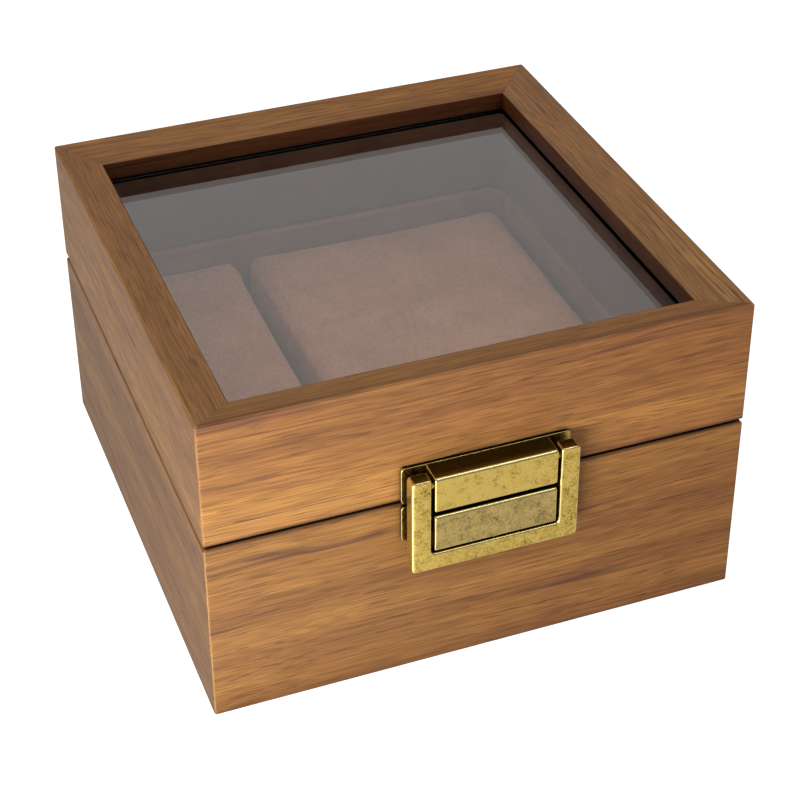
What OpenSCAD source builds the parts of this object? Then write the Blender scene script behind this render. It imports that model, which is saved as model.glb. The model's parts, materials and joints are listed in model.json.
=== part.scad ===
// Watch box: a square wood-effect case with a hinged glass-topped lid, two lift-out
// cushions and a brass box latch. The origin is under the middle of the box, the front
// is -Y and +Z is up. Millimetres.

/* [Case] */
// Outside width, left to right
box_w = 130; // [122:1:170]
// Outside depth, front to back
box_d = 130; // [110:1:170]
// Height of the base walls
base_h = 47.5; // [44:0.1:60]
// Height of the lid frame at its outer faces
lid_h = 32.1; // [30:0.1:40]
// Gap between the base rim and the lid rim
rim_gap = 0.6; // [0.4:0.05:0.8]
// Thickness of the base walls, and of the lid walls below the glass
wall_t = 8.5; // [8:0.1:9.5]
// Radius of the upright outer corners
corner_r = 0.7; // [0.3:0.1:2]
// Width of the small chamfer along the rims and the top edge
edge_chamfer = 0.6; // [0.2:0.1:1]

/* [Lid frame and glass] */
// Width of the lid frame seen from above
rail_w = 10.1; // [9.7:0.1:14]
// Fall of the frame's top face towards the glass
rail_fall = 2.8; // [0.5:0.1:4]
// Height of the frame's inner face above the glass
reveal_h = 5.1; // [2:0.1:6]
// Thickness of the glass pane
glass_t = 2.4; // [2:0.1:3]

/* [Lining] */
// Thickness of the padded wall lining
lining_t = 2.3; // [1.5:0.1:3]
// Radius of the lining's inner corners
lining_corner_r = 4; // [2:0.5:8]
// Thickness of the floor lining
floor_lining_t = 1.2; // [0.6:0.1:2]
// Thickness of the bottom panel
panel_t = 4; // [3:0.5:5]
// Height of the felt pad below the wooden base
felt_t = 0.6; // [0.3:0.1:1]

/* [Cushions] */
// Width of the narrow cushion
narrow_w = 31.2; // [24:0.1:50]
// Depth of the cushion tops below the base rim
cushion_drop = 4.1; // [4:0.1:10]
// Gap between the two cushions
cushion_gap = 1.4; // [1:0.1:6]
// Gap between the cushions and the wall lining
cushion_play = 1; // [0.5:0.1:2]
// Radius of the cushions' upright corners
cushion_corner_r = 4; // [2:0.5:8]

/* [Latch] */
// Outside width of the bail
bail_w = 40; // [36:1:60]
// Width of each arm of the bail
arm_w = 4.7; // [4:0.1:5]
// Height of the bail's cross bar
bar_h = 4.6; // [3:0.1:6]
// Thickness of the bail, front to back
bail_t = 3.6; // [3:0.1:4.4]
// Thickness of the latch plates
plate_t = 1; // [0.8:0.1:1]
// Reach of the latch in front of the box
latch_reach = 7; // [7:0.1:8]
// Height of the upper block
upper_block_h = 9.7; // [9:0.1:11]
// Height of the lower block
lower_block_h = 9.7; // [9:0.1:11]
// Radius of the bail's pivot pins
pivot_r = 0.9; // [0.7:0.1:1.1]

/* [Hinges] */
// Distance of each hinge's middle from the middle of the box
hinge_x = 38; // [25:1:45]
// Length of each hinge
hinge_len = 20; // [15:1:24]
// Inset of the hinge axis from the back face
hinge_inset = 1.8; // [1.6:0.1:2.2]
// Radius of the hinge barrel
barrel_r = 1.4; // [1.2:0.1:1.5]
// Largest opening angle of the lid
lid_open = 95; // [80:1:100]

/* [Hidden] */
$fn = 48;

// Levels of the case
base_z = felt_t;
rim_z = base_z + base_h;
lid_z = rim_z + rim_gap;
floor_z = base_z + panel_t + floor_lining_t;
glass_top = lid_h - rail_fall - reveal_h;
glass_bottom = glass_top - glass_t;

// Clearances
glass_play = 0.1;
panel_play = 0.1;
cushion_lift = 0.2;
lining_top_play = 0.02;
running_play = 0.05;
seat_play = 0.02;

// Bottom of the case
panel_rebate = 4.5;
felt_inset = 0.3;
felt_corner_r = 2;

// Shadow groove between the glass and the rails' inner faces
groove_lip = 0.5;
groove_h = 0.5;

// Cushions
lining_inset = wall_t + lining_t;
cushion_d = box_d - 2 * (lining_inset + cushion_play);
cushions_w = box_w - 2 * (lining_inset + cushion_play);
wide_w = cushions_w - narrow_w - cushion_gap;
cushion_top = rim_z - cushion_drop;
cushion_edge = 3;

// Latch, measured from the front face at y = -box_d / 2
front_y = -box_d / 2;
slot_w = bail_w - 2 * arm_w;
block_w = slot_w - 1.4;
plate_w = bail_w + 0.4;
pivot_y = front_y - latch_reach + bail_t / 2;
upper_top = lid_z + upper_block_h;
arm_top = 2.6;
pivot_z = upper_top - arm_top;
block_chamfer = 0.5;
upper_bottom = lid_z + 0.3;
lower_top = rim_z - 0.1;
lower_plate_top = rim_z - 0.2;
lower_bottom = lower_top - lower_block_h;
bar_top = lower_bottom - 0.4;
bar_bottom = bar_top - bar_h;
plate_corner_r = 0.8;
bail_corner_r = 0.8;
pin_inner_x = 11;
pin_outer_x = slot_w / 2 + 2.5;
catch_r = 0.8;
catch_h = 0.3;
catch_inset = 1.2;
ear_x = slot_w / 2 + 2.2;
latch_screw_head_r = 1.3;
latch_screw_head_t = 0.5;
latch_screw_r = 0.75;
latch_screw_len = 6;
upper_screw_z = lid_z + 1.8;
lower_screw_z = rim_z - 5;
slot_cut_w = 0.4;
slot_cut_depth = 0.25;

// Hinges: the two back edges are bevelled from the hinge axis, and meet just past lid_open
hinge_y = box_d / 2 - hinge_inset;
hinge_z = rim_z + rim_gap / 2;
bevel_angle = (lid_open + 2.5) / 2;
leaf_t = 0.8;
leaf_split = 0.1;
leaf_reach = 6.2;
knuckles = 5;
knuckle_len = hinge_len / knuckles;
knuckle_play = 0.1;
hinge_pin_r = 0.6;
barrel_play = 0.2;
hinge_screw_x = 6;
hinge_screw_y = -4;
hinge_screw_r = 0.65;
hinge_screw_head_r = 1.3;
hinge_screw_len = 6;

WOOD = "#8f5a30";
SUEDE = "#6b4634";
FELT = "#5a5450";
BRASS = "#9a7b3a";
GLASS = [0.75, 0.8, 0.82, 0.35];

// ---- Shared shapes ----

// A rectangle with round corners, extruded upwards
module rounded_block(w, d, r, h) {
    linear_extrude(h) {
        square([w - 2 * r, d], center = true);
        square([w, d - 2 * r], center = true);
        for (x = [-1, 1], y = [-1, 1])
            translate([x * (w / 2 - r), y * (d / 2 - r)]) circle(r);
    }
}

// A board along X with its outer face at y = 0, cut from [inset, height] points and
// mitred at both ends
module mitred_board(length, inset, height, section) {
    intersection() {
        translate([-length / 2, 0, 0])
            rotate([90, 0, 90])
                linear_extrude(length) polygon(section);
        linear_extrude(height)
            polygon([
                [-length / 2, 0], [length / 2, 0],
                [length / 2 - inset, inset], [-length / 2 + inset, inset]
            ]);
    }
}

// Turns a board made for the front to the side at the given angle about Z
module on_side(angle) {
    reach = (angle % 180 == 0) ? box_d / 2 : box_w / 2;
    rotate(angle) translate([0, -reach, 0]) children();
}

function side_length(angle) = (angle % 180 == 0) ? box_w : box_d;

// Padded lining section: flat sides and one round edge, from z = 0 to z = h
module lining_section(h) {
    square([lining_t, h - lining_t / 2]);
    intersection() {
        translate([lining_t / 2, h - lining_t / 2]) circle(d = lining_t);
        translate([0, h - lining_t / 2]) square([lining_t, lining_t]);
    }
}

// A closed ring of lining with its round edge on top
module lining_ring(h) {
    half_w = box_w / 2 - lining_inset;
    half_d = box_d / 2 - lining_inset;
    r = lining_corner_r;
    for (a = [0, 90, 180, 270]) {
        half = (a % 180 == 0) ? half_w : half_d;
        reach = (a % 180 == 0) ? half_d : half_w;
        rotate(a) {
            translate([-half + r, -reach, 0])
                rotate([90, 0, 90])
                    linear_extrude(2 * (half - r)) mirror([1, 0]) lining_section(h);
            translate([half - r, -reach + r, 0])
                rotate(-90)
                    rotate_extrude(angle = 90) translate([r, 0]) lining_section(h);
        }
    }
}

// A cushion with upright round corners and a chamfered top and bottom edge
module cushion(w) {
    h = cushion_top - floor_z - cushion_lift;
    step = cushion_edge / 2;
    intersection() {
        rounded_block(w, cushion_d, cushion_corner_r, h);
        rotate([90, 0, 90])
            translate([0, 0, -w / 2]) linear_extrude(w) cushion_section(cushion_d, h, step);
        rotate([90, 0, 0])
            translate([0, 0, -cushion_d / 2]) linear_extrude(cushion_d) cushion_section(w, h, step);
    }
}

// Upright section of a cushion with its corners cut off
module cushion_section(w, h, step) {
    polygon([
        [-w / 2 + step, 0], [w / 2 - step, 0], [w / 2, step], [w / 2, h - step],
        [w / 2 - step, h], [-w / 2 + step, h], [-w / 2, h - step], [-w / 2, step]
    ]);
}

// Wood screw along +Z from the underside of its flat head at z = 0
module round_head_screw(r, length, head_r, head_t) {
    translate([0, 0, -0.5]) cylinder(r = r, h = length + 0.5);
    difference() {
        translate([0, 0, -head_t]) cylinder(r = head_r, h = head_t);
        translate([-head_r, -slot_cut_w / 2, -head_t - 1])
            cube([2 * head_r, slot_cut_w, 1 + slot_cut_depth]);
    }
}

// Countersunk screw along -Z with the top of its head at z = 0
module countersunk_screw(play) {
    cone_h = hinge_screw_head_r - hinge_screw_r;
    translate([0, 0, -hinge_screw_len - play])
        cylinder(r = hinge_screw_r + play, h = hinge_screw_len + play);
    translate([0, 0, -cone_h])
        cylinder(r1 = hinge_screw_r + play, r2 = hinge_screw_head_r + play, h = cone_h);
}

// Slot across the head of a countersunk screw
module screw_slot() {
    translate([-hinge_screw_head_r, -slot_cut_w / 2, -slot_cut_depth])
        cube([2 * hinge_screw_head_r, slot_cut_w, 1]);
}

// ---- Base ----

// Section of a base wall: chamfered outer rim, and a rebate for the bottom panel
module base_board(angle) {
    on_side(angle)
        translate([0, 0, base_z])
            mitred_board(side_length(angle), wall_t, base_h, [
                [0, 0], [panel_rebate, 0], [panel_rebate, panel_t], [wall_t, panel_t],
                [wall_t, base_h], [edge_chamfer, base_h], [0, base_h - edge_chamfer]
            ]);
}

// The whole case's outline, used to round the upright corners
module case_outline() {
    translate([0, 0, -1])
        rounded_block(box_w, box_d, corner_r, base_h + lid_h + 5);
}

module base_wall(angle) {
    color(WOOD) difference() {
        intersection() {
            base_board(angle);
            case_outline();
        }
        back_bevel(-1);
    }
}

module base_front_wall() {
    difference() {
        base_wall(0);
        latch_screw_holes(lower_screw_z);
    }
}

module base_back_wall() {
    difference() {
        base_wall(180);
        hinge_mortises(-1);
    }
}

module base_left_wall() base_wall(-90);

module base_right_wall() base_wall(90);

module base_bottom_panel() {
    inset = panel_rebate + panel_play;
    color(WOOD) translate([-box_w / 2 + inset, -box_d / 2 + inset, base_z])
        cube([box_w - 2 * inset, box_d - 2 * inset, panel_t]);
}

module base_felt_pad() {
    color(FELT)
        rounded_block(box_w - 2 * felt_inset, box_d - 2 * felt_inset, felt_corner_r, felt_t);
}

module base_floor_lining() {
    inset = wall_t + panel_play;
    color(SUEDE) translate([-box_w / 2 + inset, -box_d / 2 + inset, base_z + panel_t])
        cube([box_w - 2 * inset, box_d - 2 * inset, floor_lining_t]);
}

module base_wall_lining() {
    color(SUEDE) translate([0, 0, floor_z]) lining_ring(rim_z - floor_z);
}

// ---- Cushions ----

module narrow_cushion() {
    x = -cushions_w / 2 + narrow_w / 2;
    color(SUEDE) translate([x, 0, floor_z + cushion_lift]) cushion(narrow_w);
}

module wide_cushion() {
    x = cushions_w / 2 - wide_w / 2;
    color(SUEDE) translate([x, 0, floor_z + cushion_lift]) cushion(wide_w);
}

// ---- Lid ----

// Section of a lid rail: sloping top, inner face down to a shadow groove above the glass,
// and a wall below it
module lid_board(angle) {
    c = edge_chamfer;
    lip = wall_t + groove_lip;
    on_side(angle)
        translate([0, 0, lid_z])
            mitred_board(side_length(angle), rail_w, lid_h, [
                [c, 0], [wall_t, 0], [wall_t, glass_top], [lip, glass_top],
                [lip, glass_top + groove_h], [rail_w, glass_top + groove_h],
                [rail_w, lid_h - rail_fall], [c, lid_h - c * rail_fall / rail_w],
                [0, lid_h - c], [0, c]
            ]);
}

module lid_rail(angle) {
    color(WOOD) difference() {
        intersection() {
            lid_board(angle);
            case_outline();
        }
        back_bevel(1);
    }
}

module lid_front_rail() {
    difference() {
        lid_rail(0);
        latch_screw_holes(upper_screw_z);
    }
}

module lid_back_rail() {
    difference() {
        lid_rail(180);
        hinge_mortises(1);
    }
}

module lid_left_rail() lid_rail(-90);

module lid_right_rail() lid_rail(90);

module lid_glass_pane() {
    inset = wall_t + glass_play;
    color(GLASS) translate([-box_w / 2 + inset, -box_d / 2 + inset, lid_z + glass_bottom])
        cube([box_w - 2 * inset, box_d - 2 * inset, glass_t - lining_top_play]);
}

module lid_wall_lining() {
    h = glass_bottom - lining_top_play;
    color(SUEDE) translate([0, 0, lid_z + h]) mirror([0, 0, 1]) lining_ring(h);
}

// ---- Latch ----

module latch_plate(z0, z1) {
    h = z1 - z0;
    color(BRASS) difference() {
        translate([0, front_y, (z0 + z1) / 2])
            rotate([90, 0, 0]) rounded_block(plate_w, h, plate_corner_r, plate_t);
        for (z = [lower_screw_z, upper_screw_z]) latch_screw_holes(z);
    }
}

// A block with chamfered front edges, from z0 to z1
module latch_block(z0, z1) {
    y0 = front_y - plate_t;
    y1 = front_y - latch_reach;
    c = block_chamfer;
    translate([-block_w / 2, 0, 0])
        rotate([90, 0, 90])
            linear_extrude(block_w)
                polygon([
                    [y0, z0], [y1 + c, z0], [y1, z0 + c], [y1, z1 - c], [y1 + c, z1], [y0, z1]
                ]);
}

// Holes through the plate and into the wood for one plate's screws
module latch_screw_holes(z) {
    depth = latch_screw_len + running_play;
    for (x = [-ear_x, ear_x])
        translate([x, front_y - latch_reach, z])
            rotate([-90, 0, 0])
                cylinder(r = latch_screw_r + running_play, h = latch_reach + depth);
}

module latch_screws(z) {
    length = latch_screw_len + plate_t;
    color(BRASS) for (x = [-ear_x, ear_x])
        translate([x, front_y - plate_t, z])
            rotate([-90, 0, 0])
                round_head_screw(latch_screw_r, length, latch_screw_head_r, latch_screw_head_t);
}

module latch_lower_plate() latch_plate(lower_bottom, lower_plate_top);

module latch_lower_block() {
    color(BRASS) {
        latch_block(lower_bottom, lower_top);
        translate([0, front_y - latch_reach + catch_inset, lower_bottom - catch_h])
            cylinder(r = catch_r, h = catch_h + 1);
    }
}

module latch_lower_screws() latch_screws(lower_screw_z);

module latch_upper_plate() latch_plate(lid_z, upper_top);

module latch_upper_block() {
    color(BRASS) difference() {
        latch_block(upper_bottom, upper_top);
        for (side = [-1, 1]) pivot_cylinder(side, pin_inner_x, block_w, pivot_r + seat_play);
    }
}

module latch_upper_screws() latch_screws(upper_screw_z);

// A cylinder on the bail's axis from x = inner to x = outer, on the left or the right
module pivot_cylinder(side, inner, outer, r) {
    translate([side * inner, pivot_y, pivot_z])
        rotate([0, side * 90, 0]) cylinder(r = r, h = outer - inner);
}

module latch_pivot_pins() {
    color(BRASS) for (side = [-1, 1])
        pivot_cylinder(side, pin_inner_x + seat_play, pin_outer_x, pivot_r);
}

module latch_bail() {
    top = pivot_z + arm_top;
    h = top - bar_bottom;
    y_back = front_y - latch_reach + bail_t;
    color(BRASS) difference() {
        translate([0, y_back, bar_bottom + h / 2])
            rotate([90, 0, 0]) rounded_block(bail_w, h, bail_corner_r, bail_t);
        translate([-slot_w / 2, y_back - bail_t - 1, bar_top])
            cube([slot_w, bail_t + 2, h]);
        for (side = [-1, 1])
            pivot_cylinder(side, slot_w / 2 - 1, pin_outer_x + 0.2, pivot_r + running_play);
    }
}

// ---- Hinges ----

// Wedge that bevels the back edge of the base (up = -1) or of the lid (up = 1)
module back_bevel(up) {
    run = hinge_inset + 1;
    translate([-box_w / 2 - 1, hinge_y, hinge_z])
        rotate([90, 0, 90])
            linear_extrude(box_w + 2)
                polygon([[0, 0], [run, 0], [run, up * run * tan(bevel_angle)]]);
}

// Room for the leaves and the barrels of both hinges
module hinge_mortises(up) {
    z0 = (up > 0) ? 0 : -leaf_split - leaf_t;
    h = leaf_split + leaf_t;
    for (side = [-1, 1])
        translate([side * hinge_x, hinge_y, hinge_z]) {
            translate([-hinge_len / 2 - knuckle_play, -leaf_reach - knuckle_play, z0])
                cube([hinge_len + 2 * knuckle_play, leaf_reach + knuckle_play, h]);
            translate([-hinge_len / 2 - knuckle_play, 0, 0])
                rotate([0, 90, 0])
                    cylinder(r = barrel_r + barrel_play, h = hinge_len + 2 * knuckle_play);
            hinge_screw_places(up) countersunk_screw(running_play);
        }
}

// Puts a downward screw at both places of a leaf, turned over for the lid's leaf
module hinge_screw_places(up) {
    for (x = [-hinge_screw_x, hinge_screw_x])
        translate([x, hinge_screw_y, up * leaf_split])
            rotate([(up > 0) ? 180 : 0, 0, 0]) children();
}

// One leaf: a plate, its share of the knuckles, the pin's bore and the screw holes
module hinge_leaf(side, up) {
    z0 = (up > 0) ? leaf_split : -leaf_split - leaf_t;
    first = (up > 0) ? 1 : 0;
    bore = hinge_pin_r + ((up > 0) ? running_play : seat_play);
    color(BRASS) translate([side * hinge_x, hinge_y, hinge_z]) difference() {
        union() {
            difference() {
                translate([-hinge_len / 2, -leaf_reach, z0]) cube([hinge_len, leaf_reach, leaf_t]);
                for (i = [1 - first : 2 : knuckles - 1])
                    knuckle(i, barrel_r + knuckle_play, knuckle_play);
            }
            for (i = [first : 2 : knuckles - 1]) knuckle(i, barrel_r, -knuckle_play / 2);
        }
        translate([-hinge_len / 2 - 1, 0, 0])
            rotate([0, 90, 0]) cylinder(r = bore, h = hinge_len + 2);
        hinge_screw_places(up) countersunk_screw(running_play);
    }
}

// The cylinder of one knuckle, longer at both ends by extra
module knuckle(i, r, extra) {
    translate([-hinge_len / 2 + i * knuckle_len - extra, 0, 0])
        rotate([0, 90, 0]) cylinder(r = r, h = knuckle_len + 2 * extra);
}

module hinge_pin(side) {
    color(BRASS) translate([side * hinge_x - hinge_len / 2, hinge_y, hinge_z])
        rotate([0, 90, 0]) cylinder(r = hinge_pin_r, h = hinge_len);
}

module hinge_screws(side, up) {
    color(BRASS) translate([side * hinge_x, hinge_y, hinge_z])
        hinge_screw_places(up) difference() {
            translate([0, 0, -running_play]) countersunk_screw(0);
            translate([0, 0, -running_play]) screw_slot();
        }
}

module left_hinge_base_leaf() hinge_leaf(-1, -1);

module left_hinge_lid_leaf() hinge_leaf(-1, 1);

module left_hinge_pin() hinge_pin(-1);

module left_hinge_base_screws() hinge_screws(-1, -1);

module left_hinge_lid_screws() hinge_screws(-1, 1);

module right_hinge_base_leaf() hinge_leaf(1, -1);

module right_hinge_lid_leaf() hinge_leaf(1, 1);

module right_hinge_pin() hinge_pin(1);

module right_hinge_base_screws() hinge_screws(1, -1);

module right_hinge_lid_screws() hinge_screws(1, 1);

base_front_wall();
base_back_wall();
base_left_wall();
base_right_wall();
base_bottom_panel();
base_felt_pad();
base_floor_lining();
base_wall_lining();
narrow_cushion();
wide_cushion();
lid_front_rail();
lid_back_rail();
lid_left_rail();
lid_right_rail();
lid_glass_pane();
lid_wall_lining();
latch_lower_plate();
latch_lower_block();
latch_lower_screws();
latch_upper_plate();
latch_upper_block();
latch_upper_screws();
latch_pivot_pins();
latch_bail();
left_hinge_base_leaf();
left_hinge_lid_leaf();
left_hinge_pin();
left_hinge_base_screws();
left_hinge_lid_screws();
right_hinge_base_leaf();
right_hinge_lid_leaf();
right_hinge_pin();
right_hinge_base_screws();
right_hinge_lid_screws();
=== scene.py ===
import json
import math

import bmesh
import bpy
from mathutils import Matrix, Vector, noise

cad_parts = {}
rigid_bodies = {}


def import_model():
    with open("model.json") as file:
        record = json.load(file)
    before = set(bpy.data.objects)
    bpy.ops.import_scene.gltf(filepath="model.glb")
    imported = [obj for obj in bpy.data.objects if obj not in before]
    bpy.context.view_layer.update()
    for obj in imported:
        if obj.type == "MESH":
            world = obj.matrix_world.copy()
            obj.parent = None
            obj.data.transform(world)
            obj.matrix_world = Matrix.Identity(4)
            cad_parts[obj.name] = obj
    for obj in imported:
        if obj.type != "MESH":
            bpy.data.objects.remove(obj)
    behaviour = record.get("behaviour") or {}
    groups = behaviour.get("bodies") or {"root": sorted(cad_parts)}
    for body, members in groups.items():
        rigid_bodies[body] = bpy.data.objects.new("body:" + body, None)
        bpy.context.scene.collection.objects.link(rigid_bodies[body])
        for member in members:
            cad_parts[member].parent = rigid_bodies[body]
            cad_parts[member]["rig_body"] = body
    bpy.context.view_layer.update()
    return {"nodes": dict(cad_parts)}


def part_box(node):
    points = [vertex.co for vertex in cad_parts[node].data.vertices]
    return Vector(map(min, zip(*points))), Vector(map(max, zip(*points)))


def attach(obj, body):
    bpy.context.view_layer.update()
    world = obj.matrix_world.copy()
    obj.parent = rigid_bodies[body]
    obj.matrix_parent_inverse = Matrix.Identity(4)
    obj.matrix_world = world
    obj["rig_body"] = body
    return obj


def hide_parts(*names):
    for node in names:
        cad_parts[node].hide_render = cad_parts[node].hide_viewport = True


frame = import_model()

MM = 0.001
NODES = frame["nodes"]
# Each side's two boards, lower first, and the axis that their grain follows
BOARDS = (
    (("base_front_wall", "lid_front_rail"), "x"),
    (("base_back_wall", "lid_back_rail"), "x"),
    (("base_left_wall", "lid_left_rail"), "y"),
    (("base_right_wall", "lid_right_rail"), "y"),
)
BOARD_EDGE = 0.22 * MM  # the width of the softened edges


# ---------------------------------------------------------------- node helpers


class Graph:
    """A material's node tree, with one short method for each node that the looks use."""

    def __init__(self, name):
        self.material = bpy.data.materials.new(name)
        self.material.use_nodes = True
        self.tree = self.material.node_tree
        self.tree.nodes.clear()
        self.output = self.add("ShaderNodeOutputMaterial")
        self.surface = self.add("ShaderNodeBsdfPrincipled")
        self.link(self.surface.outputs["BSDF"], self.output.inputs["Surface"])
        self.object = self.add("ShaderNodeTexCoord").outputs["Object"]

    def add(self, kind, **settings):
        node = self.tree.nodes.new(kind)
        for key, value in settings.items():
            setattr(node, key, value)
        return node

    def link(self, source, target):
        self.tree.links.new(source, target)

    def put(self, value, socket):
        """Links a socket, or sets a number, a vector or a colour of three numbers."""
        if isinstance(value, bpy.types.NodeSocket):
            self.link(value, socket)
        elif socket.type == "RGBA" and isinstance(value, tuple):
            socket.default_value = (*value, 1.0)
        else:
            socket.default_value = value

    def mapping(self, vector, scale=(1, 1, 1), rotation=(0, 0, 0), location=(0, 0, 0)):
        node = self.add("ShaderNodeMapping")
        self.link(vector, node.inputs["Vector"])
        node.inputs["Scale"].default_value = scale
        node.inputs["Rotation"].default_value = rotation
        node.inputs["Location"].default_value = location
        return node.outputs["Vector"]

    def noise(self, vector, scale, detail=2.0, roughness=0.5, distortion=0.0, colour=False):
        node = self.add("ShaderNodeTexNoise")
        self.link(vector, node.inputs["Vector"])
        node.inputs["Scale"].default_value = scale
        node.inputs["Detail"].default_value = detail
        node.inputs["Roughness"].default_value = roughness
        node.inputs["Distortion"].default_value = distortion
        return node.outputs["Color" if colour else "Fac"]

    def streaks(self, vector, along, across, start=(0, 0, 0), **settings):
        """Noise drawn out along X. along and across are its scales with the grain and against it."""
        stretched = self.mapping(vector, scale=(along, across, across), location=start)
        return self.noise(stretched, 1.0, **settings)

    def ramp(self, factor, stops):
        """Colours, or greys given as one number, at their positions along the factor."""
        node = self.add("ShaderNodeValToRGB")
        elements = node.color_ramp.elements
        while len(elements) < len(stops):
            elements.new(0.5)
        for element, (position, colour) in zip(elements, stops):
            element.position = position
            rgb = colour if isinstance(colour, tuple) else (colour, colour, colour)
            element.color = (*rgb, 1.0)
        self.link(factor, node.inputs["Fac"])
        return node.outputs["Color"]

    def mix(self, factor, a, b, blend="MIX"):
        node = self.add("ShaderNodeMix", data_type="RGBA", blend_type=blend)
        self.put(factor, node.inputs[0])
        self.put(a, node.inputs[6])
        self.put(b, node.inputs[7])
        return node.outputs[2]

    def math(self, operation, a, b=0.0):
        node = self.add("ShaderNodeMath", operation=operation)
        self.put(a, node.inputs[0])
        self.put(b, node.inputs[1])
        return node.outputs[0]

    def times(self, a, b):
        return self.math("MULTIPLY", a, b)

    def near(self, value, target, reach):
        """1 where value is within reach of target, else 0."""
        node = self.add("ShaderNodeMath", operation="COMPARE")
        self.link(value, node.inputs[0])
        node.inputs[1].default_value = target
        node.inputs[2].default_value = reach
        return node.outputs[0]

    def size(self, value):
        """A number without its sign."""
        return self.math("ABSOLUTE", value)

    def axes(self, vector):
        """The X, Y and Z of a vector."""
        node = self.add("ShaderNodeSeparateXYZ")
        self.link(vector, node.inputs[0])
        return node.outputs["X"], node.outputs["Y"], node.outputs["Z"]

    def facing(self):
        """The surface's normal in the object's own axes."""
        return self.add("ShaderNodeTexCoord").outputs["Normal"]

    def vector_math(self, operation, a, b):
        node = self.add("ShaderNodeVectorMath", operation=operation)
        self.put(a, node.inputs[0])
        self.put(b, node.inputs[1])
        return node.outputs["Vector"]

    def remap(self, value, low, high, to_low=0.0, to_high=1.0):
        node = self.add("ShaderNodeMapRange")
        self.link(value, node.inputs["Value"])
        numbers = {"From Min": low, "From Max": high, "To Min": to_low, "To Max": to_high}
        for name, number in numbers.items():
            node.inputs[name].default_value = number
        return node.outputs["Result"]

    def mix_value(self, factor, a, b):
        node = self.add("ShaderNodeMix", data_type="FLOAT")
        self.put(factor, node.inputs[0])
        self.put(a, node.inputs[2])
        self.put(b, node.inputs[3])
        return node.outputs[0]

    def shade(self, colour, factor):
        """Multiplies a colour by a number or by another colour."""
        return self.mix(1.0, colour, factor, "MULTIPLY")

    def openness(self, reach):
        """0 deep in corners, 1 where nothing else is within reach: the mask for painting shade, and on
        brass grime, into corners.
        """
        occlusion = self.add("ShaderNodeAmbientOcclusion", samples=6)
        occlusion.inputs["Distance"].default_value = reach
        return self.remap(occlusion.outputs["AO"], 0.30, 0.90)

    def edge_mask(self, radius, fully_worn, flat):
        """1 on edges within radius, 0 on flat faces. The limits are cosines of the rounding's turn."""
        bevel = self.add("ShaderNodeBevel", samples=6)
        bevel.inputs["Radius"].default_value = radius
        own = self.add("ShaderNodeNewGeometry").outputs["Normal"]
        dot = self.add("ShaderNodeVectorMath", operation="DOT_PRODUCT")
        self.link(bevel.outputs["Normal"], dot.inputs[0])
        self.link(own, dot.inputs[1])
        return self.remap(dot.outputs["Value"], flat, fully_worn)

    def bump(self, height, strength, distance):
        node = self.add("ShaderNodeBump")
        node.inputs["Strength"].default_value = strength
        node.inputs["Distance"].default_value = distance
        self.link(height, node.inputs["Height"])
        return node.outputs["Normal"]

    def finish(self, colour, roughness, normal=None, **constants):
        """Fills the Principled node. Constants are set on its own sockets."""
        self.link(colour, self.surface.inputs["Base Color"])
        self.put(roughness, self.surface.inputs["Roughness"])
        if normal is not None:
            self.link(normal, self.surface.inputs["Normal"])
        for name, value in constants.items():
            self.surface.inputs[name.replace("_", " ")].default_value = value
        return self.material


# ----------------------------------------------------------------------- wood

WOOD_GOLD = (0.480, 0.230, 0.066)
WOOD_MID = (0.380, 0.170, 0.052)
WOOD_BROWN = (0.285, 0.122, 0.044)
WOOD_STREAK = (0.130, 0.055, 0.036)
WOOD_WEAR_AND_HIGHLIGHT = (0.92, 0.54, 0.25)
INNER_FACE_DARKENING = (0.34, 0.23, 0.14)  # how much of the colour the darkening on the frame's inner faces lets through
RIGHTWARD_PAINTED_SHADE = (0.88, 0.80, 0.76)
GRAIN_SWAY = (0.0, 0.006, 0.006)  # how far the grain wanders, along it and across it
# The two sizes of growth lines: noise scales along and across the grain, half width, darkness
GROWTH_LINES = ((2.0, 120, 0.05, 0.90), (4.0, 300, 0.08, 0.40))
RINGS_PER_UNIT = 4.0
PORE_DARKNESS = 0.55
WOOD_RELIEF = 0.05 * MM

# How dark each board is on its sides and on top. 1 is the plain foil, more is darker, less is lighter.
# For the boards named below this is painted light and shade, for how the light falls on each.
EVEN_DEPTH = (1.0, 1.0)
BOTTOM_DEPTH = (1.3, 1.3)
BOARD_PAINTED_SHADE = {"lid_front_rail": (0.80, 1.05), "base_left_wall": (1.28, 1.0),
               "lid_left_rail": (1.08, 1.0), "lid_right_rail": (1.12, 1.15)}

RIM_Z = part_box("base_front_wall")[1].z
PARTING_BELOW = 0.6 * MM  # how far the painted shade along the parting reaches below the rim
PARTING_ABOVE = (1.15 * MM, 1.9 * MM)  # it fades out between these above the rim
PARTING_SHADE = {"x": 0.28, "y": 0.45}
REVEAL_AT = 55.05 * MM  # just outside the frame's inner faces, from the middle
GROOVE_Z = 73.1 * MM
GROOVE_REACH = 0.6 * MM
GROOVE_SHADE = 0.03
GROOVE_DEPTH = (60 * MM, 61 * MM)  # its black ends between these, from the middle
CORNER_AT = (63.6 * MM, 64.4 * MM)  # edges are fully pale, by wear and painted highlight, where X and Y are both past these


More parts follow.
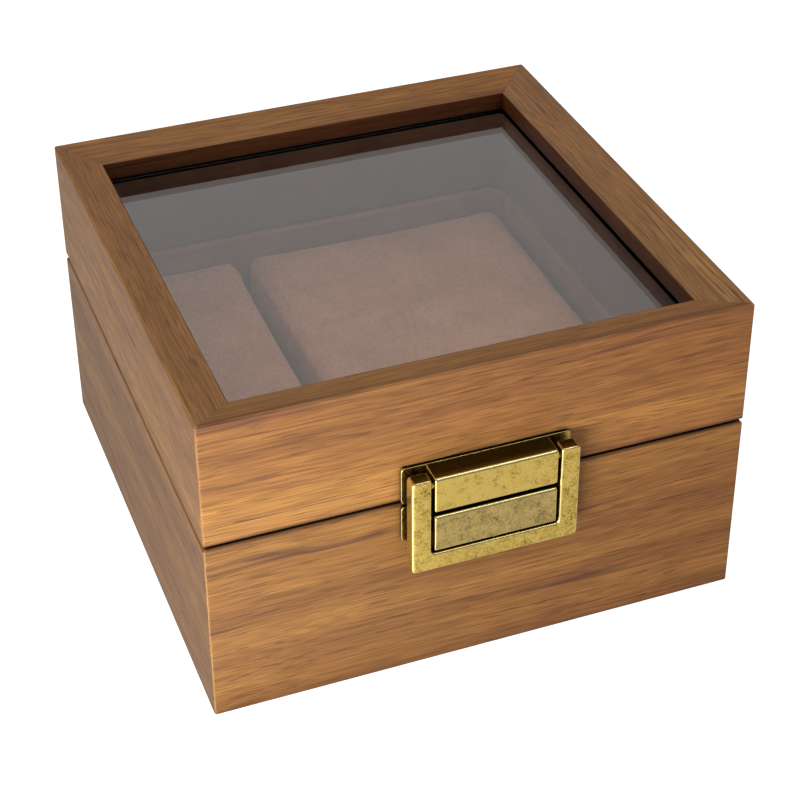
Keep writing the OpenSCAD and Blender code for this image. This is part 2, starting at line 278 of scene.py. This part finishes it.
def wood(name, along, seed, depth=EVEN_DEPTH):
    """Wood-effect foil with its grain along "x" or "y"."""
    g = Graph(name)
    turn = math.radians(90) if along == "y" else 0.0
    start = (seed * 0.37, seed * 0.19, seed * 0.11)
    board = g.mapping(g.object, rotation=(0, 0, turn), location=start)
    sway = g.vector_math("SUBTRACT", g.streaks(board, 13, 22, colour=True), (0.5, 0.5, 0.5))
    sway = g.vector_math("MULTIPLY", sway, GRAIN_SWAY)
    grain = g.vector_math("ADD", board, sway)

    # Broad soft bands from gold to brown
    tone = g.streaks(grain, 2.5, 110, detail=4.0, roughness=0.55)
    colour = g.ramp(tone, [(0.31, WOOD_BROWN), (0.48, WOOD_MID), (0.65, WOOD_GOLD)])
    # Long thin growth lines, broken up along their length
    for layer, (reach, across, half_width, darkness) in enumerate(GROWTH_LINES):
        place = (1 + layer, 2, 3)
        rings = g.streaks(grain, reach, across, place, detail=1.0)
        ring = g.math("PINGPONG", g.times(rings, RINGS_PER_UNIT), 0.5)
        line = g.ramp(ring, [(0.0, 1.0), (half_width, 0.0)])
        gate = g.ramp(g.streaks(grain, 14, across, place), [(0.42, 0.0), (0.62, 1.0)])
        colour = g.mix(g.times(g.times(line, gate), darkness), colour, WOOD_STREAK)
    # Fine fibres, lighter and darker
    fibres = g.streaks(grain, 70, 2500, detail=1.5, roughness=0.6)
    colour = g.shade(colour, g.remap(fibres, 0.32, 0.68, 0.75, 1.25))
    # Short dark pores
    pores = g.streaks(grain, 130, 2600, (7, 1, 4), detail=0.0)
    pore = g.ramp(pores, [(0.25, 1.0), (0.35, 0.0)])
    colour = g.mix(g.times(pore, PORE_DARKNESS), colour, WOOD_STREAK)
    # Painted light and shade: depth makes the board's sides and top darker or lighter
    _, _, upward = g.axes(g.facing())
    on_sides, on_top = depth
    colour = g.shade(colour, g.remap(upward, 0.5, 0.9, 1 / on_sides, 1 / on_top))
    colour = wood_edges(g, board, colour, along)

    relief = g.math("ADD", g.times(pores, 0.7), g.times(fibres, 0.5))
    normal = g.bump(relief, 0.3, WOOD_RELIEF)
    roughness = g.remap(fibres, 0.3, 0.7, 0.46, 0.36)
    return g.finish(colour, roughness, normal, Specular_IOR_Level=0.25)


def wood_edges(g, board, colour, along):
    """The foil's edges: pale by wear and painted highlight at the upright corners, painted shade in the
    parting, in corners and in the groove above the glass, darker inside the frame, and on the front and
    back boards painted shade towards the right.
    """
    right, back, height = g.axes(g.object)
    wide, deep = g.size(right), g.size(back)
    # Pale wear and painted highlight along the edges, full at the upright corners
    corner = g.remap(g.math("MINIMUM", wide, deep), *CORNER_AT, 0.12, 1.0)
    wear_and_highlight = g.edge_mask(0.5 * MM, 0.80, 0.97)
    patchy = g.noise(board, 90.0, detail=3.0)
    wear_and_highlight = g.times(wear_and_highlight, g.ramp(patchy, [(0.30, 0.45), (0.55, 1.0)]))
    colour = g.mix(g.times(wear_and_highlight, corner), colour, WOOD_WEAR_AND_HIGHLIGHT)
    # Painted shade along the parting, on the rims themselves and just beside them
    full, faded = PARTING_ABOVE
    below = g.remap(height, RIM_Z - PARTING_BELOW, RIM_Z)
    above = g.remap(height, RIM_Z + faded, RIM_Z + full)
    colour = g.shade(colour, g.remap(g.times(below, above), 0.0, 1.0, 1.0, PARTING_SHADE[along]))
    # The frame's inner faces are darker
    across = deep if along == "x" else wide
    inside = g.remap(across, REVEAL_AT + 0.1 * MM, REVEAL_AT)
    colour = g.mix(inside, colour, g.shade(colour, INNER_FACE_DARKENING))
    # Painted shade: the groove above the glass is painted black
    nearer, further = GROOVE_DEPTH
    groove = g.times(g.near(height, GROOVE_Z, GROOVE_REACH), g.remap(across, further, nearer))
    colour = g.shade(colour, g.remap(groove, 0.0, 1.0, 1.0, GROOVE_SHADE))
    # Painted shade in the corners, as round the latch
    colour = g.shade(colour, g.remap(g.openness(3.0 * MM), 0.0, 1.0, 0.32, 1.0))
    # Painted shade: the boards along the front and back are darker and redder towards the right
    if along == "x":
        colour = g.mix(g.remap(right, -0.02, 0.05), colour, g.shade(colour, RIGHTWARD_PAINTED_SHADE))
    return colour


# ---------------------------------------------------------------------- brass

BRASS_BRIGHT = (0.95, 0.68, 0.178)
BRASS_MID = (0.60, 0.405, 0.085)
BRASS_DARK = (0.13, 0.088, 0.020)
BRASS_RUBBED_AND_HIGHLIGHT = (0.95, 0.78, 0.34)
BRASS_FLANK_PAINTED_LIGHT = (0.78, 0.84, 0.28)
BRASS_GREY = (0.38, 0.33, 0.22)
TOP_PAINTED_SHADE = (0.05, 0.06, 0.02)  # how much of a top face's colour the painted shade lets through
# Grime and painted shade near other parts: light on the blocks and bail, all painted shade on the plates
LIGHT_GRIME_AND_SHADE = (0.30, 0.20, 0.10)
PLATE_PAINTED_SHADE = (0.05, 0.035, 0.015)
LATCH_FRONT_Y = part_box("latch_upper_block")[0].y
RUBBED_ROUGHNESS = 0.22


def antique_brass(name, seed, tarnish=0.0, grey=0.0, reach=2.5 * MM, grime_and_shade=LIGHT_GRIME_AND_SHADE):
    """Brass with a mottled dark patina, grime and painted shade in its corners, painted light on its
    flanks, painted shade on its tops, and edges rubbed bright and painted with highlights.
    """
    g = Graph(name)
    place = g.mapping(g.object, location=(seed * 0.013, seed * 0.007, seed * 0.011))
    cloud = g.noise(place, 420.0, detail=3.0, roughness=0.6)
    speck = g.noise(place, 1900.0, detail=3.0, roughness=0.7)
    patina = g.math("ADD", g.times(cloud, 0.45), g.times(speck, 0.55))
    colour = g.ramp(patina, [
        (0.34 + tarnish, BRASS_DARK), (0.44 + tarnish, BRASS_MID), (0.56 + tarnish, BRASS_BRIGHT)])
    if grey:
        colour = g.mix(grey, colour, BRASS_GREY)
    # Painted light: flanks are a lighter gold, for what they reflect. Painted shade: tops are darker,
    # most away from the front
    right, back, upward = g.axes(g.facing())
    flank = g.size(right)
    colour = g.mix(g.remap(flank, 0.6, 0.9, 0.0, 0.7), colour, BRASS_FLANK_PAINTED_LIGHT)
    _, depth, _ = g.axes(g.object)
    further = g.remap(depth, LATCH_FRONT_Y + 0.2 * MM, LATCH_FRONT_Y + 2.2 * MM, 0.82, 1.0)
    top = g.times(g.remap(upward, 0.5, 0.9), further)
    colour = g.mix(top, colour, g.shade(colour, TOP_PAINTED_SHADE))
    # Grime and painted shade near other parts, deepest in corners
    unshaded = g.openness(reach)
    colour = g.mix(unshaded, g.shade(colour, grime_and_shade), colour)
    # Edges rubbed bright and painted with highlights: round edges face none of the three axes squarely
    square = g.math("MAXIMUM", flank, g.math("MAXIMUM", g.size(back), g.size(upward)))
    rubbed_and_highlight = g.times(g.remap(square, 0.985, 0.90), g.remap(unshaded, 0.3, 1.0, 0.35, 0.85))
    colour = g.mix(rubbed_and_highlight, colour, BRASS_RUBBED_AND_HIGHLIGHT)
    roughness = g.remap(patina, 0.36 + tarnish, 0.58 + tarnish, 0.46, 0.27)
    roughness = g.mix_value(rubbed_and_highlight, roughness, RUBBED_ROUGHNESS)
    normal = g.bump(patina, 0.3, 0.05 * MM)
    return g.finish(colour, roughness, normal, Metallic=1.0)


HINGE_DARK = (0.42, 0.30, 0.11)
HINGE_LIGHT = (0.66, 0.49, 0.19)


def hinge_brass(name):
    """Plain drawn brass with fine scratches along the leaves."""
    g = Graph(name)
    lines = g.streaks(g.object, 220, 2600, detail=3.0)
    colour = g.ramp(lines, [(0.35, HINGE_DARK), (0.65, HINGE_LIGHT)])
    stain = g.noise(g.object, 320.0, detail=4.0)
    colour = g.mix(g.ramp(stain, [(0.55, 0.0), (0.75, 0.6)]), colour, BRASS_DARK)
    roughness = g.remap(lines, 0.3, 0.7, 0.34, 0.48)
    return g.finish(colour, roughness, g.bump(lines, 0.2, 0.03 * MM), Metallic=1.0)


# ------------------------------------------------------------- cloth and glass

SUEDE_LIGHT = (0.580, 0.270, 0.160)
SUEDE_DARK = (0.400, 0.175, 0.098)
SUEDE_SHEEN = (0.80, 0.62, 0.52, 1.0)
FELT_DARK = (0.030, 0.034, 0.046)
FELT_LIGHT = (0.075, 0.082, 0.105)
GLASS_TINT = (0.965, 0.985, 0.98)
GLASS_SHADOW = (0.97, 0.98, 0.98, 1.0)
GLASS_SHADED_BORDER = (54.8 * MM, 55.1 * MM)  # the glass turns black between these, from the middle
BLACK = (0.0, 0.0, 0.0)


def suede(name, seed, painted_light_level=1.0, nap_share=0.55):
    """Brushed brown suede, clouded where it was stroked. A low nap_share makes it smoother. A light
    level below 1 darkens it, as painted shade for where it lies.
    """
    g = Graph(name)
    place = g.mapping(g.object, location=(seed * 0.05, seed * 0.03, 0))
    stroke = g.noise(place, 45.0, detail=4.0, roughness=0.6)
    nap = g.noise(place, 1300.0, detail=4.0, roughness=0.75)
    tuft = g.noise(place, 4200.0, roughness=0.6)
    blend = g.mix_value(nap_share, stroke, nap)
    dark = tuple(painted_light_level * c for c in SUEDE_DARK)
    light = tuple(painted_light_level * c for c in SUEDE_LIGHT)
    colour = g.ramp(blend, [(0.40, dark), (0.60, light)])
    relief = g.math("ADD", nap, g.times(tuft, 0.6))
    normal = g.bump(relief, 0.5 * nap_share, 0.08 * MM)
    roughness = g.remap(nap, 0.3, 0.7, 0.98, 0.86)
    return g.finish(colour, roughness, normal, Sheen_Weight=0.35, Sheen_Roughness=0.55,
                    Sheen_Tint=SUEDE_SHEEN, Specular_IOR_Level=0.15)


def felt(name):
    """Dark blue-grey pressed felt."""
    g = Graph(name)
    fibre = g.noise(g.object, 2200.0, detail=5.0, roughness=0.8, distortion=1.5)
    colour = g.ramp(fibre, [(0.35, FELT_DARK), (0.65, FELT_LIGHT)])
    roughness = g.remap(fibre, 0.3, 0.7, 1.0, 0.9)
    return g.finish(colour, roughness, g.bump(fibre, 0.6, 0.1 * MM), Sheen_Weight=0.2)


def clear_glass(name):
    """Clear float glass that lets the lights through to the inside of the box."""
    g = Graph(name)
    # Painted shade: the border that sits in the groove is made black
    right, back, _ = g.axes(g.object)
    reach = g.math("MAXIMUM", g.size(right), g.size(back))
    tint = g.ramp(g.remap(reach, *GLASS_SHADED_BORDER), [(0.0, GLASS_TINT), (1.0, BLACK)])
    smear = g.noise(g.object, 35.0, detail=3.0, roughness=0.6)
    roughness = g.remap(smear, 0.45, 0.75, 0.0, 0.008)
    g.finish(tint, roughness, IOR=1.60, Transmission_Weight=1.0)
    path = g.add("ShaderNodeLightPath")
    passing = g.math("MAXIMUM", path.outputs["Is Shadow Ray"], path.outputs["Is Diffuse Ray"])
    open_air = g.add("ShaderNodeBsdfTransparent")
    open_air.inputs["Color"].default_value = GLASS_SHADOW
    either = g.add("ShaderNodeMixShader")
    g.link(passing, either.inputs["Fac"])
    g.link(g.surface.outputs["BSDF"], either.inputs[1])
    g.link(open_air.outputs["BSDF"], either.inputs[2])
    g.link(either.outputs["Shader"], g.output.inputs["Surface"])
    return g.material


# ------------------------------------------------------- finish on the CAD parts


def dress(node, material, bevel=None):
    """Gives a CAD node its material and, with bevel, softly rounded edges."""
    obj = NODES[node]
    for slot in obj.material_slots:
        slot.link = "OBJECT"
        slot.material = material
    if bevel is None:
        return
    weld = obj.modifiers.new("weld", "WELD")
    weld.merge_threshold = 0.001 * MM
    flat = obj.modifiers.new("flat_faces", "DECIMATE")
    flat.decimate_type = "DISSOLVE"
    flat.angle_limit = math.radians(0.5)
    edge = obj.modifiers.new("soft_edges", "BEVEL")
    edge.width = bevel
    edge.segments = 2
    edge.limit_method = "ANGLE"
    edge.angle_limit = math.radians(25)
    edge.use_clamp_overlap = True
    obj.modifiers.new("even_shading", "WEIGHTED_NORMAL")


def dress_boards():
    for side, (boards, along) in enumerate(BOARDS):
        for level, node in enumerate(boards):
            seed = 1 + 2 * side + level
            depth = BOARD_PAINTED_SHADE.get(node, EVEN_DEPTH)
            dress(node, wood("wood_" + node, along, seed, depth), BOARD_EDGE)
    dress("base_bottom_panel", wood("wood_bottom", "x", 11, BOTTOM_DEPTH))


CAST_VOXEL = 0.2 * MM


def cast(node, material, passes):
    """Gives a small metal part the round edges of a casting: an even mesh, then passes of smoothing."""
    dress(node, material)
    obj = NODES[node]
    even = obj.modifiers.new("even_mesh", "REMESH")
    even.mode = "VOXEL"
    even.voxel_size = CAST_VOXEL
    even.use_smooth_shade = True
    smooth = obj.modifiers.new("round_edges", "SMOOTH")
    smooth.factor = 0.5
    smooth.iterations = passes


def dress_metal():
    upper = antique_brass("brass_upper", 1, tarnish=-0.06)
    bail = antique_brass("brass_bail", 2, tarnish=-0.01)
    lower = antique_brass("brass_lower", 5, tarnish=0.015, grey=0.35)
    plate = antique_brass("brass_plate", 3, tarnish=0.08, reach=6.0 * MM, grime_and_shade=PLATE_PAINTED_SHADE)
    cast("latch_upper_plate", plate, passes=4)
    cast("latch_lower_plate", plate, passes=4)
    cast("latch_upper_block", upper, passes=26)
    cast("latch_lower_block", lower, passes=26)
    cast("latch_bail", bail, passes=60)
    for node in ("latch_lower_screws", "latch_upper_screws", "latch_pivot_pins"):
        dress(node, upper)
    plain = hinge_brass("brass_hinge")
    for node in NODES:
        if "_hinge_" in node:
            dress(node, plain)


def dress_glass():
    dress("lid_glass_pane", clear_glass("glass_pane"))


# -------------------------------------------------------------------- cushions

CUSHION_CORNER = 2.3 * MM
CUSHION_EDGE = 1.5 * MM
CUSHION_ROOM = Vector((0.5, 0.5, 0.0)) * MM  # left free on each side for the swelling
CUSHION_HEADROOM = Vector((0.0, 0.0, 0.3 * MM))
CUSHION_VOXEL = 2.0 * MM
CLOTH_SCALE = 10.0
CLOTH_PRESSURE = 4.0
CLOTH_FRAMES = 20
SWELL_CAPS = Vector((0.7 * MM, 0.7 * MM, 0.9 * MM))  # how far a point may move along each axis
SIDE_DRAW = 0.5 * MM
SEAM_INSET = 3.2 * MM
SEAM_WIDTH = 0.7 * MM
SEAM_DEPTH = 0.35 * MM
CREASES_PER_METRE = 110.0
CREASE_DEPTH = 0.12 * MM


def surface_mesh(name, verts, faces):
    mesh = bpy.data.meshes.new(name)
    mesh.from_pydata(verts, [], faces)
    mesh.update()
    obj = bpy.data.objects.new(name, mesh)
    bpy.context.scene.collection.objects.link(obj)
    return obj


def apply_modifiers(obj):
    """Swaps the object's mesh for what its modifiers make of it."""
    graph = bpy.context.evaluated_depsgraph_get()
    mesh = bpy.data.meshes.new_from_object(obj.evaluated_get(graph))
    obj.modifiers.clear()
    obj.data = mesh


def soft_box(name, low, high, corner, edge):
    """A closed box with round upright corners and softer rounded edges above and below."""
    width, depth, height = high - low
    bm = bmesh.new()
    bmesh.ops.create_cube(bm, size=1.0)
    middle = (low + high) / 2
    for vert in bm.verts:
        vert.co = Vector(a * b for a, b in zip(vert.co, (width, depth, height))) + middle
    upright = [e for e in bm.edges if abs(e.verts[0].co.z - e.verts[1].co.z) > height / 2]
    bmesh.ops.bevel(bm, geom=upright, offset=corner, segments=6, affect="EDGES", profile=0.5)
    level = [e for e in bm.edges if len(e.link_faces) == 2 and e.calc_face_angle() > 1.0]
    bmesh.ops.bevel(bm, geom=level, offset=edge, segments=4, affect="EDGES", profile=0.5)
    mesh = bpy.data.meshes.new(name)
    bm.to_mesh(mesh)
    bm.free()
    obj = bpy.data.objects.new(name, mesh)
    bpy.context.scene.collection.objects.link(obj)
    return obj


def swell(obj):
    """Inflates the piece as cloth under pressure, then limits how far each point has gone.

    The cloth is worked out CLOTH_SCALE times as large, where Blender's cloth is at its best."""
    mesh = obj.data
    mesh.transform(Matrix.Scale(CLOTH_SCALE, 4))
    start = [vert.co.copy() for vert in mesh.vertices]
    cloth = obj.modifiers.new("cloth", "CLOTH")
    cloth.settings.use_pressure = True
    cloth.settings.uniform_pressure_force = CLOTH_PRESSURE
    cloth.settings.effector_weights.gravity = 0.0
    scene = bpy.context.scene
    for frame_number in range(1, CLOTH_FRAMES + 1):
        scene.frame_set(frame_number)
    graph = bpy.context.evaluated_depsgraph_get()
    swollen = bpy.data.meshes.new_from_object(obj.evaluated_get(graph))
    caps = SWELL_CAPS * CLOTH_SCALE
    for vert, old in zip(swollen.vertices, start):
        step = vert.co - old
        vert.co = old + Vector(d * cap / (abs(d) + cap) for d, cap in zip(step, caps))
    obj.modifiers.clear()
    swollen.transform(Matrix.Scale(1 / CLOTH_SCALE, 4))
    obj.data = swollen
    scene.frame_set(1)


def make_cushion(node, piece_name, material):
    """A foam cushion in a suede cover: crowned, with its sides drawn in between the corners."""
    low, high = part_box(node)
    inner_low, inner_high = low + CUSHION_ROOM, high - CUSHION_ROOM - CUSHION_HEADROOM
    piece = soft_box(piece_name, inner_low, inner_high, CUSHION_CORNER, CUSHION_EDGE)
    remesh = piece.modifiers.new("even_mesh", "REMESH")
    remesh.mode = "VOXEL"
    remesh.voxel_size = CUSHION_VOXEL
    apply_modifiers(piece)
    swell(piece)
    smooth = piece.modifiers.new("smooth", "SUBSURF")
    smooth.levels = smooth.render_levels = 1
    apply_modifiers(piece)
    shape_cushion(piece, low, high)
    piece.data.materials.clear()
    piece.data.materials.append(material)
    for polygon in piece.data.polygons:
        polygon.use_smooth = True
    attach(piece, node)
    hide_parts(node)


def shape_cushion(piece, low, high):
    """Draws the sides in between the corners, sinks the end panels' seams and flattens the underside."""
    middle, half = (low + high) / 2, (high - low) / 2
    for vert in piece.data.vertices:
        x, y, z = vert.co
        u, v = (x - middle.x) / half.x, (y - middle.y) / half.y
        on_top = 1.0 if z > middle.z else 0.0
        vert.co.x -= math.copysign(SIDE_DRAW * max(0.0, 1 - v * v) * abs(u) ** 4, u)
        vert.co.y -= math.copysign(SIDE_DRAW * max(0.0, 1 - u * u) * abs(v) ** 4, v)
        for seam_y in (middle.y - half.y + SEAM_INSET, middle.y + half.y - SEAM_INSET):
            groove = math.exp(-((y - seam_y) / SEAM_WIDTH) ** 2) * SEAM_DEPTH
            vert.co.z -= groove * on_top
            vert.co.x -= math.copysign(groove * abs(u) ** 6, u)
        crease = noise.noise(Vector((x, y, z)) * CREASES_PER_METRE) * CREASE_DEPTH
        vert.co.z += crease * on_top
        vert.co.z = max(vert.co.z, low.z)
    for vert in piece.data.vertices:
        vert.co = Vector(min(max(c, a), b) for c, a, b in zip(vert.co, low, high))
    piece.data.update()


def make_cushions():
    make_cushion("narrow_cushion", "narrow_suede_cushion", suede("suede_narrow", 1))
    make_cushion("wide_cushion", "wide_suede_cushion", suede("suede_wide", 2))


# -------------------------------------------------------------------- linings

LINING_T = 2.3 * MM
LINING_CORNER = 4.0 * MM
RING_STEP = 2.5 * MM
RIPPLES_PER_METRE = 45.0
RIPPLE_DEPTH = 0.16 * MM
RIPPLE_SINK = 0.12 * MM
TUCK_DROP = 2.2 * MM
FLAT_CELLS = 44
FLAT_EDGE = 0.5 * MM


def ring_path(half_x, half_y, corner, step):
    """Points and outward directions round a rectangle with round corners, from the front left."""
    points = []
    arc = [math.radians(a) for a in range(0, 90, 10)]
    turns = ((-1, -1, 180), (1, -1, 270), (1, 1, 0), (-1, 1, 90))
    for (sx, sy, start), (nx, ny, _) in zip(turns, turns[1:] + turns[:1]):
        centre = Vector((sx * (half_x - corner), sy * (half_y - corner)))
        for angle in arc:
            way = Vector((math.cos(math.radians(start) + angle), math.sin(math.radians(start) + angle)))
            points.append((centre + way * corner, way))
        way = Vector((math.cos(math.radians(start + 90)), math.sin(math.radians(start + 90))))
        begin = centre + way * corner
        end = Vector((nx * (half_x - corner), ny * (half_y - corner))) + way * corner
        count = max(1, round((end - begin).length / step))
        points += [(begin.lerp(end, i / count), way) for i in range(count)]
    return points


def make_lining(node, piece_name, material, bead_up):
    """A padded suede lining round the walls, with a plump rounded edge at the parting."""
    low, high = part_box(node)
    thick = LINING_T
    height = high.z - low.z
    path = ring_path(high.x - thick, high.y - thick, LINING_CORNER, RING_STEP)
    bead_r = thick / 2
    profile = [(thick, 0.0)]
    profile += [(thick, height * i / 6) for i in range(1, 6)]
    top = height - bead_r
    for degrees in range(0, 181, 15):
        angle = math.radians(degrees)
        profile.append((bead_r + bead_r * math.cos(angle), top + bead_r * math.sin(angle)))
    # The cloth tucks in under the edge's bead
    tuck = top - TUCK_DROP
    profile += [(0.32 * MM, top - 1.2 * MM), (0.42 * MM, tuck), (0.18 * MM, tuck - 1.2 * MM)]
    profile += [(0.0, tuck * i / 8) for i in range(7, 0, -1)] + [(0.15 * MM, 0.0)]
    verts, faces = [], []
    for point, way in path:
        for out, up in profile:
            z = low.z + up if bead_up else high.z - up
            place = Vector((point.x + way.x * out, point.y + way.y * out, z))
            soft = max(0.0, 1 - out / thick)
            ripple = noise.noise(place * RIPPLES_PER_METRE) * RIPPLE_DEPTH
            place.xy -= way * soft * (ripple - RIPPLE_SINK)
            verts.append(place)
    across, along = len(profile), len(path)
    for i in range(along):
        for j in range(across):
            a, b = i * across + j, i * across + (j + 1) % across
            c, d = (i + 1) % along * across + (j + 1) % across, (i + 1) % along * across + j
            faces.append((a, b, c, d) if not bead_up else (d, c, b, a))
    piece = surface_mesh(piece_name, verts, faces)
    finish_soft(piece, node, material)


def make_flat_lining(node, piece_name, material, dips, lumps):
    """A thin flat soft layer with rounded edges. Its faces dip by up to twice dips."""
    low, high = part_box(node)
    thick = high.z - low.z
    edge = min(0.45 * thick, FLAT_EDGE)
    columns = FLAT_CELLS
    verts, faces = [], []
    for side in (1, -1):
        for i in range(columns + 1):
            for j in range(columns + 1):
                u, v = 2 * i / columns - 1, 2 * j / columns - 1
                rim = max(abs(u), abs(v))
                sink = edge * (1.0 if rim == 1.0 else 0.0)
                x = (low.x + high.x) / 2 + u * (high.x - low.x) / 2
                y = (low.y + high.y) / 2 + v * (high.y - low.y) / 2
                z = high.z - sink if side == 1 else low.z + sink
                dip = noise.noise(Vector((x, y, side)) * lumps) * dips - dips
                z += side * min(0.0, dip) * (1 if rim < 1.0 else 0)
                verts.append(Vector((x, y, z)))
    count = (columns + 1) ** 2
    for i in range(columns):
        for j in range(columns):
            a = i * (columns + 1) + j
            quad = (a, a + columns + 1, a + columns + 2, a + 1)
            faces.append(quad)
            faces.append(tuple(count + k for k in reversed(quad)))
    border = [(i, 0) for i in range(columns)] + [(columns, j) for j in range(columns)]
    border += [(i, columns) for i in range(columns, 0, -1)] + [(0, j) for j in range(columns, 0, -1)]
    ids = [i * (columns + 1) + j for i, j in border]
    for a, b in zip(ids, ids[1:] + ids[:1]):
        faces.append((b, a, count + a, count + b))
    piece = surface_mesh(piece_name, verts, faces)
    finish_soft(piece, node, material)


def finish_soft(piece, node, material):
    """What every soft piece that stands for a CAD node needs."""
    piece.data.materials.append(material)
    for polygon in piece.data.polygons:
        polygon.use_smooth = True
    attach(piece, NODES[node]["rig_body"])
    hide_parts(node)


def make_linings():
    # The linings are darker copies of the same suede: painted shade inside the box
    lining = suede("suede_base_lining_shaded", 3, painted_light_level=0.52, nap_share=0.35)
    shaded_lid_lining = suede("suede_lid_lining_shaded", 4, painted_light_level=0.20, nap_share=0.15)
    make_lining("base_wall_lining", "base_padded_lining", lining, bead_up=True)
    make_lining("lid_wall_lining", "lid_padded_lining", shaded_lid_lining, bead_up=False)
    make_flat_lining("base_floor_lining", "base_floor_suede", lining,
                     dips=0.12 * MM, lumps=60.0)
    make_flat_lining("base_felt_pad", "base_felt_sheet", felt("felt_pad"),
                     dips=0.04 * MM, lumps=200.0)


# ------------------------------------------------------------ floor, light, camera

FLOOR_HALF = 3.0
FLOOR_DARK = (0.29, 0.29, 0.29)
FLOOR_PALE = (0.31, 0.31, 0.31)
# The floor's own glow: for every ray, added in the picture itself, and added in reflections,
# first elsewhere and then in front of the box's left half
FLOOR_GLOW = 0.08
FLOOR_IN_CAMERA = 0.95
FLOOR_IN_GLOSS = (0.30, 2.1)
HORIZON = (0.12, 0.12, 0.12)
CEILING_FRONT = (0.30, 0.30, 0.30)
CEILING_BACK = (0.80, 0.79, 0.78)
UP = (0.0, 0.0, 1.0)
BACK_LEFT = (-0.65, 0.76, 0.0)
BOX_MIDDLE = (0.0, 0.0, 0.04)


def make_floor():
    """A pale table, as used for cut-out pictures, that looks almost white in the picture."""
    half = FLOOR_HALF
    corners = [(-half, -half, 0), (half, -half, 0), (half, half, 0), (-half, half, 0)]
    floor = surface_mesh("floor", corners, [(0, 1, 2, 3)])
    g = Graph("pale_floor")
    cloud = g.noise(g.object, 1.5)
    colour = g.ramp(cloud, [(0.3, FLOOR_DARK), (0.7, FLOOR_PALE)])
    g.finish(colour, 0.85, Specular_IOR_Level=0.2)
    path = g.add("ShaderNodeLightPath")
    in_camera = g.times(path.outputs["Is Camera Ray"], FLOOR_IN_CAMERA)
    right, back, _ = g.axes(g.object)
    front_left = g.times(g.remap(right, 0.0, -0.07), g.remap(back, -0.07, -0.08))
    in_gloss = g.times(path.outputs["Is Glossy Ray"], g.remap(front_left, 0.0, 1.0, *FLOOR_IN_GLOSS))
    glow = g.add("ShaderNodeEmission")
    g.link(g.math("ADD", g.math("ADD", in_camera, in_gloss), FLOOR_GLOW), glow.inputs["Strength"])
    total = g.add("ShaderNodeAddShader")
    g.link(g.surface.outputs["BSDF"], total.inputs[0])
    g.link(glow.outputs["Emission"], total.inputs[1])
    g.link(total.outputs["Shader"], g.output.inputs["Surface"])
    floor.data.materials.append(g.material)


def soft_light(name, place, width, height, power):
    """A softbox at place that faces the box. The camera doesn't see it."""
    data = bpy.data.lights.new(name, "AREA")
    data.shape = "RECTANGLE"
    data.size = width
    data.size_y = height
    data.energy = power
    obj = bpy.data.objects.new(name, data)
    aim = (Vector(BOX_MIDDLE) - Vector(place)).to_track_quat("-Z", "Y").to_matrix().to_4x4()
    obj.matrix_world = Matrix.Translation(place) @ aim
    obj.visible_camera = False
    bpy.context.scene.collection.objects.link(obj)


def make_studio():
    """A dim room with a big white softbox overhead, which reaches down towards the back left."""
    world = bpy.data.worlds.new("studio")
    world.use_nodes = True
    tree = world.node_tree
    background = tree.nodes["Background"]
    way = tree.nodes.new("ShaderNodeTexCoord")

    def step(axis, low, high):
        """Rises smoothly from 0 to 1 along an axis."""
        dot = tree.nodes.new("ShaderNodeVectorMath")
        dot.operation = "DOT_PRODUCT"
        dot.inputs[1].default_value = axis
        tree.links.new(way.outputs["Generated"], dot.inputs[0])
        rise = tree.nodes.new("ShaderNodeMapRange")
        rise.interpolation_type = "SMOOTHSTEP"
        rise.inputs["From Min"].default_value = low
        rise.inputs["From Max"].default_value = high
        tree.links.new(dot.outputs["Value"], rise.inputs["Value"])
        return rise.outputs["Result"]

    def blend(factor, a, b):
        node = tree.nodes.new("ShaderNodeMix")
        node.data_type = "RGBA"
        tree.links.new(factor, node.inputs[0])
        for value, socket in ((a, node.inputs[6]), (b, node.inputs[7])):
            if isinstance(value, tuple):
                socket.default_value = (*value, 1.0)
            else:
                tree.links.new(value, socket)
        return node.outputs[2]

    overhead = blend(step(BACK_LEFT, -0.45, 0.70), CEILING_FRONT, CEILING_BACK)
    room = blend(step(UP, 0.25, 0.45), HORIZON, overhead)
    tree.links.new(room, background.inputs["Color"])
    bpy.context.scene.world = world


def make_lights():
    soft_light("key", (-0.24, -0.33, 0.085), 0.20, 0.07, 1.02)
    soft_light("side", (-0.45, 0.10, 0.09), 0.40, 0.10, 0.03)
    soft_light("glint", (0.16, -0.32, 0.50), 0.32, 0.03, 0.35)
    make_studio()


CAMERA_AT = Vector((-0.14222, -0.39095, 0.32623))
AZIMUTH = math.radians(20.575)
ELEVATION = math.radians(32.956)
ROLL = math.radians(-0.33)


def make_camera():
    """The camera stands front left of the box and above it, and looks towards the back right."""
    level = math.cos(ELEVATION)
    forward = Vector((math.sin(AZIMUTH) * level, math.cos(AZIMUTH) * level, -math.sin(ELEVATION)))
    data = bpy.data.cameras.new("camera")
    data.sensor_width = 36.0
    data.lens = 90.91
    data.shift_y = -0.12
    data.clip_start = 0.02
    camera = bpy.data.objects.new("camera", data)
    aim = forward.to_track_quat("-Z", "Y").to_matrix().to_4x4()
    camera.matrix_world = Matrix.Translation(CAMERA_AT) @ aim @ Matrix.Rotation(ROLL, 4, "Z")
    bpy.context.scene.collection.objects.link(camera)
    bpy.context.scene.camera = camera


bpy.context.scene.view_settings.view_transform = "Standard"
make_camera()
make_lights()
make_floor()
dress_boards()
dress_metal()
dress_glass()
make_cushions()
make_linings()
